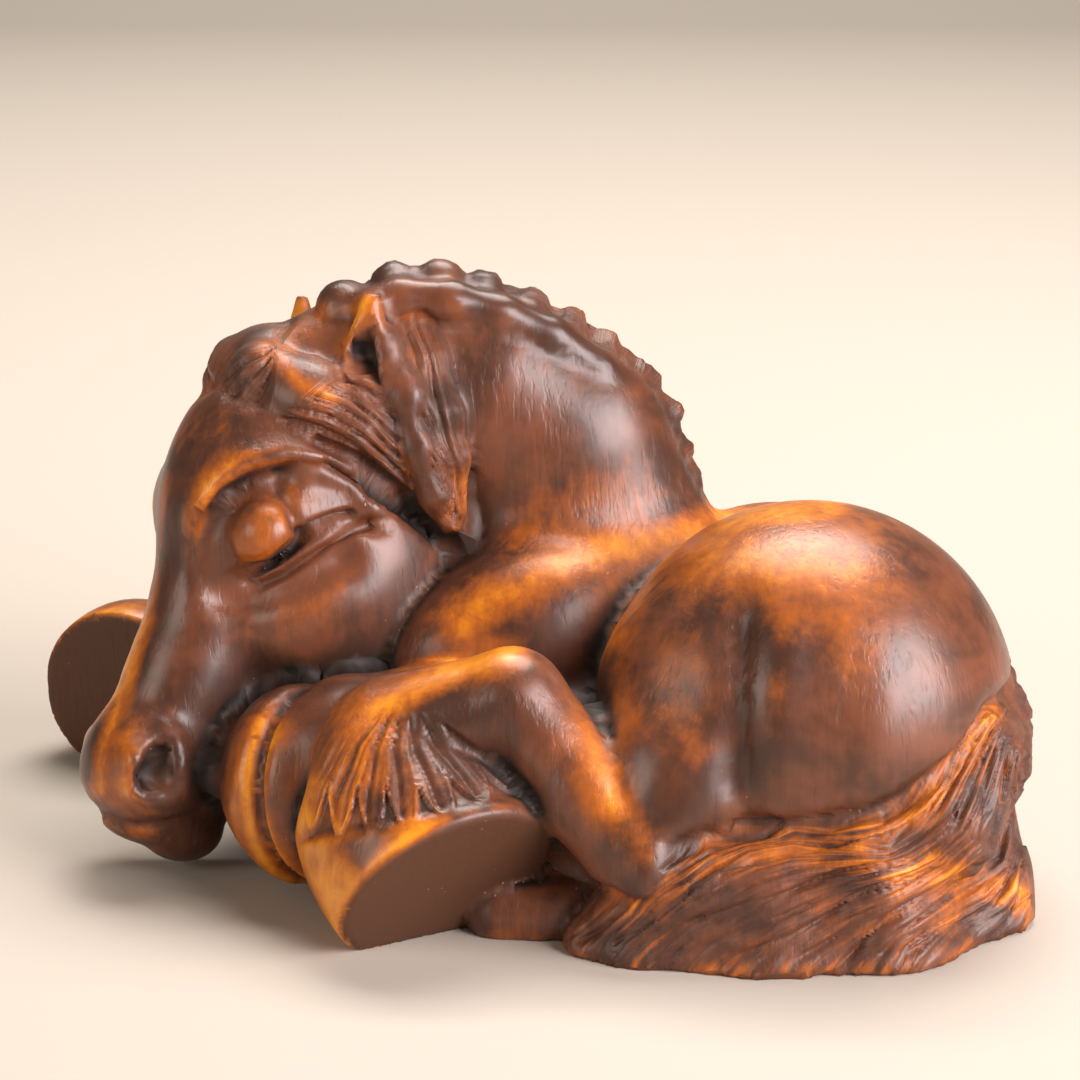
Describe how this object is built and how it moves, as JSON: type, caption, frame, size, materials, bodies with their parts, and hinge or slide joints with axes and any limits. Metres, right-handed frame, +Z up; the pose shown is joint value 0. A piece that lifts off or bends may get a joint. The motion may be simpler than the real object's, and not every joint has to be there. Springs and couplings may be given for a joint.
{
  "type": "netsuke figurine",
  "caption": "Carved boxwood netsuke of a sleeping horse, curled up with its tail swept round its side and cord holes underneath.",
  "frame": {"origin": "middle of the bounding box, on the flat underside that it rests on", "axes": "+X from the muzzle to the rump, +Y from the near side to the far side, +Z up"},
  "size_m": [0.0592, 0.0416, 0.0342],
  "materials": {
    "stained_boxwood": "stained and waxed, worn paler on the raised places"
  },
  "bodies": {
    "root": {"sleeping_horse": "stained_boxwood"}
  },
  "joints": []
}
